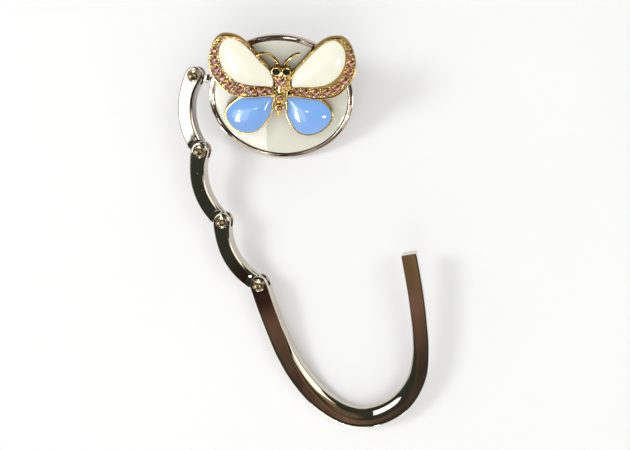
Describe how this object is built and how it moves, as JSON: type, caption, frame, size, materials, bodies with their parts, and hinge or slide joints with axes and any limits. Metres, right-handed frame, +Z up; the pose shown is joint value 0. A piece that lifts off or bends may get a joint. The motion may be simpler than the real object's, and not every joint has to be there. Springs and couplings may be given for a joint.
{
  "type": "purse hook",
  "caption": "Folding table hook for a handbag: round enamelled disc with a jewelled butterfly, swivel neck, chain of curved links and a J hook.",
  "frame": {"origin": "middle of the outline seen from above, on the table that the open hook lies on", "axes": "+Z up from the table, +Y from the hook's bend towards the disc, +X from the links towards the hook's open arm"},
  "size_m": [0.0806, 0.1202, 0.0377],
  "materials": {
    "chrome": "polished plate",
    "cream_enamel": "glossy enamel",
    "rubber": "matte",
    "gold": "polished gold plate",
    "wing_cream": "glossy enamel",
    "wing_blue": "glossy enamel",
    "rose_glass": "cut and foil-backed",
    "black_glass": "cut and foil-backed",
    "brass": "polished"
  },
  "bodies": {
    "disc": {"disc_case": "chrome", "enamel_face": "cream_enamel", "rubber_pad": "rubber", "butterfly_post": "gold", "butterfly_frame": "gold", "enamel_upper_left": "wing_cream", "enamel_upper_right": "wing_cream", "enamel_lower_left": "wing_blue", "enamel_lower_right": "wing_blue", "wing_stone_left_1": "rose_glass", "wing_stone_left_2": "rose_glass", "wing_stone_left_3": "rose_glass", "wing_stone_left_4": "rose_glass", "wing_stone_left_5": "rose_glass", "wing_stone_left_6": "rose_glass", "wing_stone_left_7": "rose_glass", "wing_stone_left_8": "rose_glass", "wing_stone_left_9": "rose_glass", "wing_stone_right_1": "rose_glass", "wing_stone_right_2": "rose_glass", "wing_stone_right_3": "rose_glass", "wing_stone_right_4": "rose_glass", "wing_stone_right_5": "rose_glass", "wing_stone_right_6": "rose_glass", "wing_stone_right_7": "rose_glass", "wing_stone_right_8": "rose_glass", "wing_stone_right_9": "rose_glass", "eye_stone_left": "black_glass", "eye_stone_right": "black_glass", "thorax_stone": "rose_glass", "abdomen_stone_1": "rose_glass", "abdomen_stone_2": "rose_glass"},
    "swivel_block": {"swivel_block": "chrome"},
    "link_1": {"link_1": "chrome", "pin_1": "brass"},
    "link_2": {"link_2": "chrome", "pin_2": "brass"},
    "link_3": {"link_3": "chrome", "pin_3": "brass"},
    "hook": {"hook": "chrome", "pin_4": "brass"}
  },
  "joints": [
    {"name": "disc_swivel", "type": "hinge", "parent": "disc", "child": "swivel_block", "pos_m": [-0.03499, 0.04849, 0.02115], "axis": [0.9623, -0.1697, -0.2126], "range_deg": [-100, 200]},
    {"name": "fold_1", "type": "hinge", "parent": "swivel_block", "child": "link_1", "pos_m": [-0.03499, 0.04849, 0.02115], "axis": [-0.112, -0.2239, 0.9681], "range_deg": [-20, 6]},
    {"name": "fold_2", "type": "hinge", "parent": "link_1", "child": "link_2", "pos_m": [-0.0332, 0.02596, 0.01614], "axis": [-0.112, -0.2239, 0.9681], "range_deg": [0, 30]},
    {"name": "fold_3", "type": "hinge", "parent": "link_2", "child": "link_3", "pos_m": [-0.02602, 0.00435, 0.01197], "axis": [-0.112, -0.2239, 0.9681], "range_deg": [0, 30]},
    {"name": "fold_hook", "type": "hinge", "parent": "link_3", "child": "hook", "pos_m": [-0.01393, -0.01515, 0.00886], "axis": [-0.112, -0.2239, 0.9681], "range_deg": [0, 15]}
  ]
}
